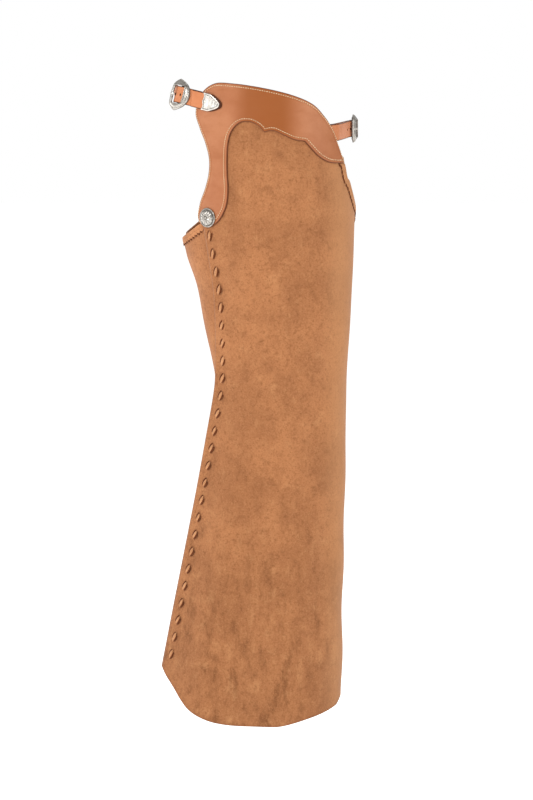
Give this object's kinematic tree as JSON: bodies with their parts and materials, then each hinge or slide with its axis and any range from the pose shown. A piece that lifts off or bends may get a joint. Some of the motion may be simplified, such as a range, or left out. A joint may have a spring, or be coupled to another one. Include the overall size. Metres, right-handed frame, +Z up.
{
  "type": "batwing chaps",
  "caption": "Closed suede leg chaps with laced rear seams, scalloped smooth leather hip yokes, domed discs and buckled straps at the back and front of the waist.",
  "frame": {"origin": "centre of the wearer's waist, on the middle plane between the legs and at the height of the rear waist strap", "axes": "+X to the wearer's front, +Y to the wearer's left, +Z up"},
  "size_m": [0.3071, 0.3666, 0.9912],
  "materials": {
    "suede": "napped split suede",
    "suede_thong": "narrow suede thong",
    "yoke_leather": "smooth, semi-matt, burnished edges",
    "strap_leather": "smooth, semi-matt, dark edges",
    "antique_silver": "antique silver plate, engraved"
  },
  "bodies": {
    "root": {"right_leg": "suede", "left_leg": "suede", "right_hem_strip": "suede", "left_hem_strip": "suede", "right_seam_lace": "suede_thong", "left_seam_lace": "suede_thong", "right_yoke": "yoke_leather", "left_yoke": "yoke_leather", "right_concho": "antique_silver", "left_concho": "antique_silver", "rear_billet": "strap_leather", "rear_billet_tip": "antique_silver", "rear_buckle_strap": "strap_leather", "rear_buckle": "antique_silver", "rear_prong": "antique_silver", "front_billet": "strap_leather", "front_buckle_strap": "strap_leather", "front_buckle": "antique_silver", "front_prong": "antique_silver"}
  },
  "joints": []
}
